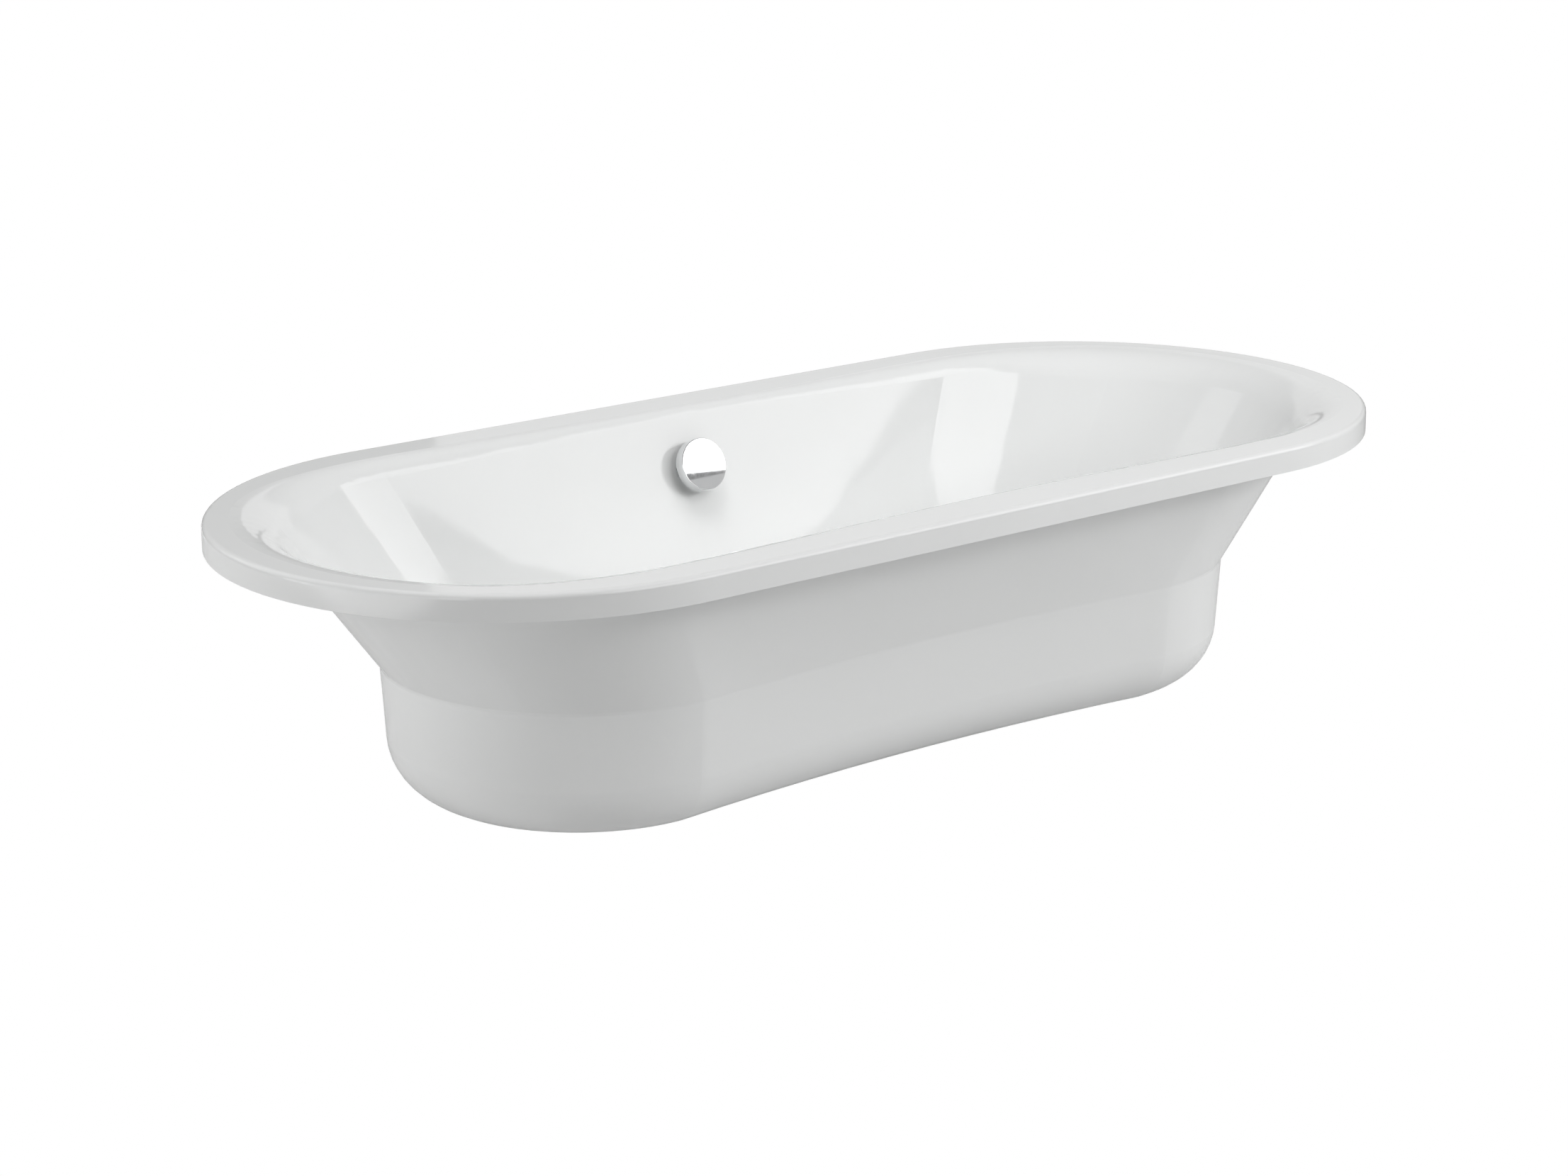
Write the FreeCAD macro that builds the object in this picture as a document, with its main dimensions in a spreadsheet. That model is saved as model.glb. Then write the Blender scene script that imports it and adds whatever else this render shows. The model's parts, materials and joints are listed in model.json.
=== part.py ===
import FreeCAD, Part
import Sketcher
import math
import os
import re
from types import SimpleNamespace

from FreeCAD import Placement, Rotation, Vector

# A built-in bathtub pressed from one sheet of enamelled steel, with its cable-operated waste and overflow.
# The origin is the centre of the plane on which the rim's skirt rests. +X runs along the bath, +Y towards
# the long side with the overflow, +Z up.

SIZES = {
    # Rim: a long oval, flat on top, with a skirt turned down all round
    "rim_length": 1800,
    "rim_width": 800,
    "rim_depth": 34,
    "rim_round": 7,
    "rim_ledge": 77,
    "lip_end_round": 82,
    "lip_corner_round": 32,
    "lip_side_round": 14,
    "lip_end_turn": 38,
    "sheet_wall": 3.5,
    # Basin: walls that flare from a crease to the rim, long sides drawn in at the middle
    "crease_end_inset": 231.5,
    "crease_side_inset": 132.5,
    "crease_drop": 211,
    "crease_round": 11,
    "side_waist": 23,
    "corner_round": 100,
    "basin_drop": 391,
    "draft_inset": 11.5,
    "floor_round": 82,
    # Fall of the floor to the drain
    "dish_edge": 11,
    "dish_seat_width": 90,
    "dish_fall": 7,
    # Openings in the sheet
    "overflow_drop": 82,
    "overflow_hole": 52,
    "drain_hole": 52,
    # Bitumen pads that deaden the floor
    "pad_length": 250,
    "pad_width": 170,
    "pad_thickness": 4,
    "pad_corner": 25,
    "pad_offset": 305,
    # Earthing lug under the rim
    "lug_width": 20,
    "lug_height": 48,
    "lug_foot": 14,
    "lug_sheet": 2,
    "lug_hole": 6.5,
    "lug_offset": 450,
    # Clearances
    "seat_gap": 0.3,
    "running_fit": 0.05,
    # Overflow: turning cap, spindle and cable drum
    "cap_diameter": 76,
    "cap_depth": 16,
    "cap_gap": 12,
    "cap_wall": 2.2,
    "cap_round": 1.2,
    "boss_diameter": 15,
    "spindle_diameter": 8,
    "collar_diameter": 12,
    "collar_height": 2,
    "bearing_diameter": 14,
    "bearing_height": 6,
    "drum_groove": 16,
    "drum_flange": 24,
    "drum_width": 9,
    "drum_rim": 1.6,
    "knob_turn": 90,
    # Overflow: plate, gasket and elbow behind the wall
    "plate_diameter": 64,
    "plate_thickness": 2.5,
    "hub_diameter": 18,
    "hub_depth": 10,
    "hub_rise": 2,
    "slot_diameter": 11,
    "slot_circle_diameter": 38,
    "slot_count": 6,
    "screw_diameter": 5,
    "screw_length": 24,
    "screw_head": 9,
    "head_height": 2.6,
    "screw_circle_diameter": 43,
    "gasket_thickness": 3,
    "gasket_width": 7,
    "elbow_mouth": 68,
    "elbow_diameter": 60,
    "elbow_wall": 3,
    "elbow_depth": 53,
    "elbow_lip": 4,
    "screw_boss": 13,
    "boss_length": 20,
    "spout_depth": 26,
    "elbow_spout": 45,
    "cover_thickness": 3,
    "cover_rim": 2,
    # Pipes and their slip joints
    "pipe_diameter": 40,
    "pipe_wall": 1.8,
    "pipe_entry": 22,
    "socket_wall": 4,
    "nut_length": 20,
    "nut_wall": 4,
    "nut_overlap": 13,
    "nut_faces": 8,
    "ring_length": 5,
    "tee_reach": 45,
    "tee_root": 28,
    "tee_body": 54,
    "tee_tail": 34,
    # Drain: flange, gaskets and shoe under the floor
    "flange_diameter": 70,
    "flange_thickness": 2.5,
    "sleeve_diameter": 46,
    "sleeve_wall": 2.5,
    "sleeve_length": 20,
    "spoke_count": 4,
    "spoke_width": 3,
    "spoke_height": 6,
    "spoke_drop": 6,
    "guide_diameter": 12,
    "upper_seal": 1.5,
    "lower_seal": 3,
    "shoe_flange": 76,
    "shoe_lip": 4,
    "outlet_clear": 1,
    "shoe_diameter": 60,
    "shoe_wall": 3,
    "neck_length": 10,
    "outlet_reach": 58,
    # Plug
    "plug_diameter": 62,
    "plug_height": 8,
    "plug_round": 5,
    "plug_seal": 2,
    "seal_outer": 54,
    "seal_inner": 43,
    "stem_diameter": 8,
    "stem_engaged": 4,
    # Lever under the plug, its shaft and the crank outside the shoe
    "shaft_diameter": 6,
    "shaft_drop": 18,
    "lever_arm": 17,
    "lever_tip": 6,
    "lever_width": 8,
    "lever_hub": 11,
    "lever_thickness": 4,
    "shaft_end": 41,
    "crank_arm": 26.5,
    "crank_thickness": 4,
    "crank_hub": 12,
    "crank_eye": 9,
    "crank_web": 7,
    "boss_wall": 3,
    "boss_reach": 34.5,
    "boss_back": 28,
    "shaft_back": 23,
    "pin_diameter": 4,
    "pin_length": 8,
    # Cable: pull rod, sheath and the ferrules that hold the sheath's ends
    "rod_diameter": 2.4,
    "rod_eye": 11,
    "eye_hole": 6,
    "eye_width": 5,
    "cable_diameter": 6.4,
    "cable_bore": 3.2,
    "ferrule_diameter": 10,
    "ferrule_head": 13,
    "ferrule_length": 14,
    "ferrule_collar": 4,
    "ferrule_wall": 3,
    "bracket_distance": 24,
    "rod_engaged": 12,
    "gland_angle": 30,
    "gland_reach": 42,
    "gland_run": 82,
    "upper_bend": 45,
    "lower_bend": 120,
}

SHEET = "Sizes"
OUTWARD = Vector(0, 0, 1)
LENGTHWISE = Vector(1, 0, 0)
CROSSWISE = Vector(0, 1, 0)
# How far apart two heights of one level may be computed
SAME_LEVEL = 1e-6
# Where a revolved outline's corners stand before its constraints place them
START = Vector(2, 0, 0)
START_RADIUS = 1

doc = FreeCAD.newDocument("Bathtub")
sheet = doc.addObject("Spreadsheet::Sheet", SHEET)
for row, (alias, amount) in enumerate(SIZES.items(), 1):
    sheet.set(f"A{row}", alias.replace("_", " "))
    sheet.set(f"B{row}", str(amount))
    sheet.setAlias(f"B{row}", alias)
doc.recompute()

size = SimpleNamespace(**{alias: float(sheet.get(alias)) for alias in SIZES})
nodes = {}


def linked(formula):
    """Write the sheet's name in front of each alias of a formula."""
    return re.sub(r"[a-z]+(?:_[a-z]+)+", lambda alias: f"{SHEET}.{alias.group()}", formula)


def bind(piece, formulas):
    """Tie properties of a piece to formulas of the sheet's sizes, or give them a derived number."""
    for name, formula in formulas.items():
        if isinstance(formula, str):
            piece.setExpression(name, linked(formula))
        else:
            setattr(piece, name, formula)


def keep(label, piece):
    """Give a finished sub-part its label and list it for export."""
    piece.Label = label
    nodes[label] = piece
    return piece


def along(direction, place=Vector()):
    """The placement that turns +Z to a direction at a point."""
    return Placement(place, Rotation(OUTWARD, direction))


def cylinder(name, radius, height, place=Placement()):
    """A cylinder on +Z, its radius and height bound to formulas."""
    piece = doc.addObject("Part::Cylinder", name)
    bind(piece, {"Radius": radius, "Height": height})
    piece.Placement = place
    return piece


def box(name, length, width, height, place=Placement()):
    """A box from its corner, its sides bound to formulas."""
    piece = doc.addObject("Part::Box", name)
    bind(piece, {"Length": length, "Width": width, "Height": height})
    piece.Placement = place
    return piece


def fused(name, pieces):
    """One solid made of overlapping pieces."""
    joined = doc.addObject("Part::MultiFuse", name)
    joined.Shapes = pieces
    joined.Refine = True
    return joined


def without(name, base, tools):
    """A base with each tool cut from it."""
    for number, tool in enumerate(tools, 1):
        rest = doc.addObject("Part::Cut", f"{name}_{number}")
        rest.Base = base
        rest.Tool = tool
        base = rest
    return base


def group(name, pieces):
    """Separate solids kept together."""
    whole = doc.addObject("Part::Compound", name)
    whole.Links = pieces
    return whole


def softened(body, radius, height, amount):
    """A body with its circular edge at a radius and height rounded by a formula."""
    doc.recompute()
    sharp = body.Tip
    number = next(
        number
        for number, edge in enumerate(sharp.Shape.Edges, 1)
        if edge.Closed
        and abs(edge.Vertexes[0].Z - height) < SAME_LEVEL
        and abs(math.hypot(edge.Vertexes[0].X, edge.Vertexes[0].Y) - radius) < SAME_LEVEL
    )
    soft = body.newObject("PartDesign::Fillet", f"{body.Name}_soft")
    soft.Base = (sharp, [f"Edge{number}"])
    bind(soft, {"Radius": amount})
    return body


def turned(name, outline, place=Placement()):
    """A body revolved from an outline of (radius, height) formulas about +Z."""
    body = doc.addObject("PartDesign::Body", name)
    sketch = body.newObject("Sketcher::SketchObject", f"{name}_outline")
    upright = next(plane for plane in body.Origin.OriginFeatures if plane.Role == "XZ_Plane")
    sketch.AttachmentSupport = [(upright, "")]
    sketch.MapMode = "FlatFace"
    count = len(outline)
    corners = [polar(START, START_RADIUS, 2 * math.pi * turn / count) for turn in range(count)]
    for turn in range(count):
        sketch.addGeometry(Part.LineSegment(corners[turn], corners[(turn + 1) % count]))
    for turn in range(count):
        sketch.addConstraint(Sketcher.Constraint("Coincident", turn, 2, (turn + 1) % count, 1))
    for turn, (radius, height) in enumerate(outline):
        if radius == "0":
            sketch.addConstraint(Sketcher.Constraint("PointOnObject", turn, 1, -2))
        else:
            across = sketch.addConstraint(Sketcher.Constraint("DistanceX", -1, 1, turn, 1, 1.0))
            sketch.setExpression(f"Constraints[{across}]", linked(radius))
        if height == "0":
            sketch.addConstraint(Sketcher.Constraint("PointOnObject", turn, 1, -1))
        else:
            up = sketch.addConstraint(Sketcher.Constraint("DistanceY", -1, 1, turn, 1, 1.0))
            sketch.setExpression(f"Constraints[{up}]", linked(height))
    revolved = body.newObject("PartDesign::Revolution", f"{name}_turned")
    revolved.Profile = sketch
    revolved.ReferenceAxis = (sketch, ["V_Axis"])
    revolved.Angle = 360
    body.Placement = place
    return body




def at_height(shape, height):
    """The edges of a shape that lie level at a height."""
    return [
        number
        for number, edge in enumerate(shape.Edges, 1)
        if max(abs(vertex.Z - height) for vertex in edge.Vertexes) < SAME_LEVEL
        and abs(edge.valueAt(sum(edge.ParameterRange) / 2).z - height) < SAME_LEVEL
    ]


def rounded(name, base, numbers, radius):
    """A base with a round of one radius on numbered edges."""
    doc.recompute()
    piece = doc.addObject("Part::Fillet", name)
    piece.Base = base
    piece.Edges = [(number, radius, radius) for number in numbers]
    return piece


def polar(centre, radius, turn, height=0):
    """A point at an angle about a centre, at a height."""
    return centre + Vector(radius * math.cos(turn), radius * math.sin(turn), height)


def flipped(point, end_for_end, side_for_side):
    """A point carried to another quarter of the bath."""
    return Vector(-point.x if end_for_end else point.x, -point.y if side_for_side else point.y, point.z)


def waisted_plan(half_length, half_width, corner_radius):
    """Centres, radii and turns of one quarter of an oval whose long sides are drawn in.

    The end is an arc about a centre on the X axis, the side an arc about a centre far outside, and a corner
    arc is tangent to both.
    """
    end = Vector(half_length - half_width, 0)
    bow_radius = (end.x**2 + size.side_waist**2) / (2 * size.side_waist)
    bow = Vector(0, half_width - size.side_waist + bow_radius)
    to_end = half_width - corner_radius
    to_bow = bow_radius + corner_radius
    span = end.distanceToPoint(bow)
    along_span = (to_end**2 - to_bow**2 + span**2) / (2 * span)
    off_span = math.sqrt(to_end**2 - along_span**2)
    towards = (bow - end) / span
    corner = end + towards * along_span + Vector(towards.y, -towards.x) * off_span
    return SimpleNamespace(
        end=end,
        end_radius=half_width,
        end_turn=math.atan2(corner.y, corner.x - end.x),
        corner=corner,
        corner_radius=corner_radius,
        side_turn=math.atan2(bow.y - corner.y, -corner.x),
        bow=bow,
        bow_radius=bow_radius,
    )


def waisted_points(plan, height):
    """Eight points of a waisted oval's first quarter, from its end to the middle of its side."""
    bend = math.radians(size.lip_end_turn)
    flank_turn = -math.pi / 2
    hip_turn = (plan.side_turn - math.pi + flank_turn) / 2
    return [
        polar(plan.end, plan.end_radius, 0, height),
        polar(plan.end, plan.end_radius, bend, height),
        polar(plan.end, plan.end_radius, (bend + plan.end_turn) / 2, height),
        polar(plan.corner, plan.corner_radius, plan.end_turn, height),
        polar(plan.corner, plan.corner_radius, (plan.end_turn + plan.side_turn) / 2, height),
        polar(plan.corner, plan.corner_radius, plan.side_turn, height),
        polar(plan.bow, plan.bow_radius, hip_turn, height),
        polar(plan.bow, plan.bow_radius, flank_turn, height),
    ]


def straight_points(half_length, half_width, split_turn, height):
    """The same eight points of an oval with straight sides, its end arc split at an angle."""
    end = Vector(half_length - half_width, 0)
    bend = math.radians(size.lip_end_turn)
    turns = [0, bend, (bend + split_turn) / 2, split_turn, (split_turn + math.pi / 2) / 2, math.pi / 2]
    return [polar(end, half_width, turn, height) for turn in turns] + [
        Vector(end.x / 2, half_width, height),
        Vector(0, half_width, height),
    ]


def ring(points, straight=False):
    """The closed outline of tangent edges that eight points of its first quarter give."""
    apex, bend = points[:2]
    edges = []
    for far, near in ((False, False), (True, False), (True, True), (False, True)):
        quarter = [flipped(point, far, near) for point in points]
        steps = [Part.Arc(*quarter[first : first + 3]) for first in (1, 3)]
        start, middle, stop = quarter[5:]
        steps.append(Part.LineSegment(start, stop) if straight else Part.Arc(start, middle, stop))
        steps = [step.toShape() for step in steps]
        edges += steps if far == near else steps[::-1]
    for far in (False, True):
        end = [flipped(point, far, near) for point, near in ((bend, True), (apex, False), (bend, False))]
        edges.append(Part.Arc(*end).toShape())
    return Part.Wire(Part.__sortEdges__(edges))


def wall_section(radius, outwards, levels):
    """The lower wall and its round to the floor, upright in the XZ plane, at a radius from their axis.

    outwards is 1 where the wall leans away from the axis and -1 where it leans towards it.
    """
    draft = math.atan(levels.inset / (levels.crease - levels.floor))
    reach = levels.floor_round * math.tan((math.pi / 2 - draft) / 2)
    middle = (math.pi / 2 + draft) / 2
    heel = levels.inset + reach
    steps = [
        (0, levels.crease),
        (levels.inset - reach * math.sin(draft), levels.floor + reach * math.cos(draft)),
        (
            heel - levels.floor_round * math.cos(middle),
            levels.floor + levels.floor_round * (1 - math.sin(middle)),
        ),
        (heel, levels.floor),
    ]
    top, foot, bend, floor = [Vector(radius - outwards * inwards, 0, height) for inwards, height in steps]
    return Part.Wire([Part.LineSegment(top, foot).toShape(), Part.Arc(foot, bend, floor).toShape()])


def revolved(section, centre, start, turn):
    """The faces that an upright section sweeps about a vertical axis."""
    piece = section.copy()
    piece.rotate(Vector(), OUTWARD, math.degrees(start))
    piece.translate(centre)
    return piece.revolve(centre, OUTWARD, math.degrees(turn)).Faces


def lower_basin(plan, levels):
    """The closed solid under the crease: ends, corners and drawn-in sides, all of revolution."""
    ends = revolved(wall_section(plan.end_radius, 1, levels), plan.end, -plan.end_turn, 2 * plan.end_turn)
    corner_sweep = plan.side_turn - plan.end_turn
    corners = revolved(wall_section(plan.corner_radius, 1, levels), plan.corner, plan.end_turn, corner_sweep)
    side_start = plan.side_turn - math.pi
    side_sweep = -2 * (side_start + math.pi / 2)
    sides = revolved(wall_section(plan.bow_radius, -1, levels), plan.bow, side_start, side_sweep)
    corners += [face.mirror(Vector(), CROSSWISE) for face in corners]
    faces = ends + corners + [face.mirror(Vector(), LENGTHWISE) for face in ends + corners]
    faces += sides + [face.mirror(Vector(), CROSSWISE) for face in sides]
    walls = Part.Shell(faces)
    walls.sewShape()
    lids = []
    for level in (levels.floor, levels.crease):
        edges = [walls.Edges[number - 1] for number in at_height(walls, level)]
        lids.append(Part.Face(Part.Wire(Part.__sortEdges__(edges))))
    closed = Part.Shell(walls.Faces + lids)
    closed.sewShape()
    solid = Part.Solid(closed)
    if solid.Volume < 0:
        solid.reverse()
    return solid


def bowl(name, mouth_half_length, mouth_half_width, plan, levels):
    """A basin from the rim's plane to the floor, with the crease rounded."""
    mouth = ring(straight_points(mouth_half_length, mouth_half_width, plan.end_turn, size.rim_depth), True)
    flare = Part.makeLoft([mouth, ring(waisted_points(plan, levels.crease))], True, True)
    whole = lower_basin(plan, levels).fuse(flare).removeSplitter()
    crease = [whole.Edges[number - 1] for number in at_height(whole, levels.crease)]
    piece = doc.addObject("Part::Feature", name)
    piece.Shape = whole.makeFillet(levels.crease_round, crease)
    return piece


def mitre(upper, lower):
    """How far in and up the sheet's inner face turns where its outer one bends between two slopes."""
    share = size.sheet_wall / (1 + math.cos(upper - lower))
    return share * (math.cos(upper) + math.cos(lower)), share * (math.sin(upper) + math.sin(lower))


def slab(name, inset, split_turn, low, high):
    """An upright block with the rim's outline, smaller by an inset all round."""
    points = straight_points(size.rim_length / 2 - inset, size.rim_width / 2 - inset, split_turn, low)
    piece = doc.addObject("Part::Feature", name)
    piece.Shape = Part.Face(ring(points, True)).extrude(Vector(0, 0, high - low))
    return piece


def lip_radius(point):
    """The lip's radius at a point of the mouth: wide round the ends, tight in the middle of the sides."""
    spine = MOUTH_LENGTH - MOUTH_WIDTH
    if abs(point.x) < SAME_LEVEL:
        return size.lip_side_round
    turn = math.degrees(math.atan2(abs(point.y), abs(point.x) - spine))
    return size.lip_end_round if turn < (size.lip_end_turn + 90) / 2 else size.lip_corner_round


def rolled(name, base, height):
    """A solid whose edges round the mouth, level at a height, get the lip's radius at the rim's top."""
    doc.recompute()
    spine = MOUTH_LENGTH - MOUTH_WIDTH
    edges = []
    for number in at_height(base.Shape, height):
        edge = base.Shape.Edges[number - 1]
        middle = edge.valueAt(sum(edge.ParameterRange) / 2)
        if math.hypot(max(abs(middle.x) - spine, 0), middle.y) < MOUTH_WIDTH + size.rim_ledge / 2:
            radii = [lip_radius(edge.valueAt(place)) + height - RIM_TOP for place in edge.ParameterRange]
            edges.append((number, *radii))
    piece = doc.addObject("Part::Fillet", name)
    piece.Base = base
    piece.Edges = edges
    return piece


def flare_slope(spread):
    """The flare's angle from upright, from its inner edge at the rim to its outer one at the crease."""
    reach = math.hypot(spread, size.crease_drop)
    return math.atan2(spread, size.crease_drop) + math.asin(size.sheet_wall / reach)


# Levels and slopes of the tub, shared by its pieces
RIM_TOP = size.rim_depth
CREASE = RIM_TOP - size.crease_drop
FLOOR = RIM_TOP - size.basin_drop
MOUTH_LENGTH = size.rim_length / 2 - size.rim_ledge
MOUTH_WIDTH = size.rim_width / 2 - size.rim_ledge
CREASE_LENGTH = size.rim_length / 2 - size.crease_end_inset
CREASE_WIDTH = size.rim_width / 2 - size.crease_side_inset
END_SLOPE = flare_slope(MOUTH_LENGTH - CREASE_LENGTH)
SIDE_SLOPE = flare_slope(MOUTH_WIDTH - CREASE_WIDTH + size.side_waist)
DRAFT = math.atan(size.draft_inset / (size.basin_drop - size.crease_drop))
DISH = FLOOR - size.dish_fall
DRAIN_SEAT = DISH + size.sheet_wall

# The overflow's own frame: its origin lies on the inner wall, its Z points square out of the wall
WALL_TURN = Rotation(LENGTHWISE, 90 - math.degrees(SIDE_SLOPE))
WALL_POINT = Vector(0, MOUTH_WIDTH - size.overflow_drop * math.tan(SIDE_SLOPE), RIM_TOP - size.overflow_drop)
ELBOW_MOUTH = -size.sheet_wall - size.gasket_thickness
ELBOW_BACK = ELBOW_MOUTH - size.elbow_depth
DRUM_FOOT = ELBOW_BACK + size.bearing_height + size.seat_gap
SOCKET = size.pipe_diameter / 2 + size.socket_wall

# The drain's levels, from the floor down
FLANGE_FOOT = DRAIN_SEAT + size.upper_seal
FLANGE_TOP = FLANGE_FOOT + size.flange_thickness
SHOE_TOP = DISH - size.lower_seal
OUTLET = SHOE_TOP - size.shoe_lip - size.outlet_clear - SOCKET

# The lever's shaft lies across the shoe. Its half turn is counted from the lever's level position.
SHAFT = Vector(0, -size.lever_arm, SHOE_TOP - size.shaft_drop)
LEVER_TURN = math.radians(size.knob_turn) * size.drum_groove / 2 / size.crank_arm
LEVER_FRAME = Placement(SHAFT, Rotation(LENGTHWISE, -math.degrees(LEVER_TURN) / 2))
CRANK_FACE = size.boss_reach + size.seat_gap
ROD_LINE = CRANK_FACE + size.crank_thickness + size.pin_length / 2
ROD_LEVEL = SHAFT.z - size.crank_arm * (1 + math.cos(LEVER_TURN / 2)) / 2
ROD_START = SHAFT.y - size.crank_arm * math.sin(LEVER_TURN / 2)
BRACKET_FACE = size.bracket_distance + size.ferrule_length - size.ferrule_collar
PLUG_FOOT = FLANGE_TOP + size.seat_gap + size.plug_seal
STEM_FOOT = SHAFT.z - size.lever_arm * math.sin(LEVER_TURN / 2) + size.lever_tip / 2 + size.seat_gap


def overflow_frame(depth=0, across=0, up=0):
    """A placement in the overflow's frame: depth towards the bath, across along it, up the wall."""
    return Placement(WALL_POINT + WALL_TURN.multVec(Vector(across, up, depth)), WALL_TURN)


# The spout leaves the elbow's underside, the tee hangs below it
SPOUT = overflow_frame(ELBOW_MOUTH - size.spout_depth, 0, -size.elbow_diameter / 2).Base
SPOUT_HEAD = SPOUT.z + size.pipe_diameter / 2 * math.tan(SIDE_SLOPE)
SPOUT_FOOT = SPOUT_HEAD - size.elbow_spout
TEE = Vector(0, SPOUT.y, OUTLET)


def tub_shell():
    """The pressed sheet: rim with skirt, flared and creased basin, fall to the drain and two holes."""
    outside = waisted_plan(CREASE_LENGTH, CREASE_WIDTH, size.corner_round)
    outer_levels = SimpleNamespace(
        crease=CREASE,
        floor=FLOOR,
        inset=size.draft_inset,
        floor_round=size.floor_round,
        crease_round=size.crease_round,
    )
    outer = bowl(
        "outer_bowl",
        MOUTH_LENGTH + size.sheet_wall / math.cos(END_SLOPE),
        MOUTH_WIDTH + size.sheet_wall / math.cos(SIDE_SLOPE),
        outside,
        outer_levels,
    )
    end_inset, end_rise = mitre(END_SLOPE, DRAFT)
    side_inset, side_rise = mitre(SIDE_SLOPE, DRAFT)
    inset, rise = (end_inset + side_inset) / 2, (end_rise + side_rise) / 2
    inner_levels = SimpleNamespace(
        crease=CREASE + rise,
        floor=FLOOR + size.sheet_wall,
        inset=(CREASE + rise - FLOOR - size.sheet_wall) * math.tan(DRAFT),
        floor_round=size.floor_round - size.sheet_wall,
        crease_round=size.crease_round + size.sheet_wall,
    )
    inside = waisted_plan(CREASE_LENGTH - inset, CREASE_WIDTH - inset, size.corner_round - inset)
    inner = bowl("inner_bowl", MOUTH_LENGTH, MOUTH_WIDTH, inside, inner_levels)

    block = slab("rim_block", 0, outside.end_turn, 0, RIM_TOP)
    rim = rounded("rim_edge", block, at_height(block.Shape, RIM_TOP), size.rim_round)
    hollow = slab("rim_hollow", size.sheet_wall, outside.end_turn, -size.rim_depth, RIM_TOP - size.sheet_wall)
    tray = without("rim_tray", rim, [hollow])
    dishes = []
    dish_radius = "rim_width / 2 - crease_side_inset - side_waist - draft_inset - floor_round - dish_edge"
    for side, level in (("under", FLOOR), ("upper", FLOOR + size.sheet_wall)):
        dish = doc.addObject("Part::Cone", f"{side}_dish")
        bind(dish, {"Radius1": "dish_seat_width / 2", "Radius2": dish_radius, "Height": "dish_fall"})
        dish.Placement = Placement(Vector(0, 0, level - size.dish_fall), Rotation())
        dishes.append(dish)
    sheet = rolled("rim_roll", fused("sheet_block", [tray, outer, dishes[0]]), RIM_TOP - size.sheet_wall)
    above = slab("above_rim", -size.sheet_wall, outside.end_turn, RIM_TOP, 2 * RIM_TOP)
    void = rolled("rim_lip", fused("basin_void", [inner, dishes[1], above]), RIM_TOP)
    pressed = without("pressed_sheet", sheet, [void])
    drain = cylinder("drain_opening", "drain_hole / 2", "basin_drop", along(OUTWARD, Vector(0, 0, 2 * FLOOR)))
    overflow = cylinder(
        "overflow_opening",
        "overflow_hole / 2",
        "overflow_hole",
        overflow_frame(-size.overflow_hole / 2),
    )
    return keep("tub_shell", without("tub", pressed, [drain, overflow]))


def anti_drum_pads():
    """Two bitumen pads stuck under the floor, one each side of the drain."""
    pads = []
    for side in (-1, 1):
        start = side * size.pad_offset - size.pad_length / 2
        corner = Vector(start, -size.pad_width / 2, FLOOR - size.pad_thickness)
        pad = box("pad", "pad_length", "pad_width", "pad_thickness", Placement(corner, Rotation()))
        doc.recompute()
        upright = [
            number
            for number, edge in enumerate(pad.Shape.Edges, 1)
            if abs(edge.Vertexes[0].Z - edge.Vertexes[-1].Z) > SAME_LEVEL
        ]
        pads.append(rounded("pad_corners", pad, upright, size.pad_corner))
    return keep("anti_drum_pads", group("pads", pads))


def earth_lug():
    """An angle spot-welded under the rim, with a hole for the earth conductor's bolt."""
    start = Vector(size.lug_offset, MOUTH_WIDTH + size.rim_ledge / 2, RIM_TOP - size.sheet_wall)
    foot = box(
        "lug_foot_plate",
        "lug_width",
        "lug_foot",
        "lug_sheet",
        Placement(start - Vector(size.lug_width / 2, 0, size.lug_sheet), Rotation()),
    )
    blade = box(
        "lug_blade",
        "lug_width",
        "lug_sheet",
        "lug_height",
        Placement(start - Vector(size.lug_width / 2, 0, size.lug_height), Rotation()),
    )
    middle = start - Vector(0, size.lug_sheet, size.lug_height - size.lug_width / 2)
    hole = cylinder("lug_bolt_hole", "lug_hole / 2", "3 * lug_sheet", along(CROSSWISE, middle))
    return keep("earth_lug", without("lug", fused("lug_angle", [foot, blade]), [hole]))


def overflow_knob():
    """The turning cap: a shallow chromed cup that hides the overflow, on a boss for the spindle."""
    cap = turned(
        "cap",
        [
            ("0", "cap_gap + cap_depth"),
            ("cap_diameter / 2", "cap_gap + cap_depth"),
            ("cap_diameter / 2", "cap_gap"),
            ("cap_diameter / 2 - cap_wall", "cap_gap"),
            ("cap_diameter / 2 - cap_wall", "cap_gap + cap_depth - cap_wall"),
            ("boss_diameter / 2", "cap_gap + cap_depth - cap_wall"),
            ("boss_diameter / 2", "cap_gap"),
            ("spindle_diameter / 2 + running_fit", "cap_gap"),
            ("spindle_diameter / 2 + running_fit", "cap_gap + cap_depth - 2 * cap_wall"),
            ("0", "cap_gap + cap_depth - 2 * cap_wall"),
        ],
        overflow_frame(),
    )
    face = size.cap_gap + size.cap_depth
    return keep("overflow_knob", softened(cap, size.cap_diameter / 2, face, "cap_round"))


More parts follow.
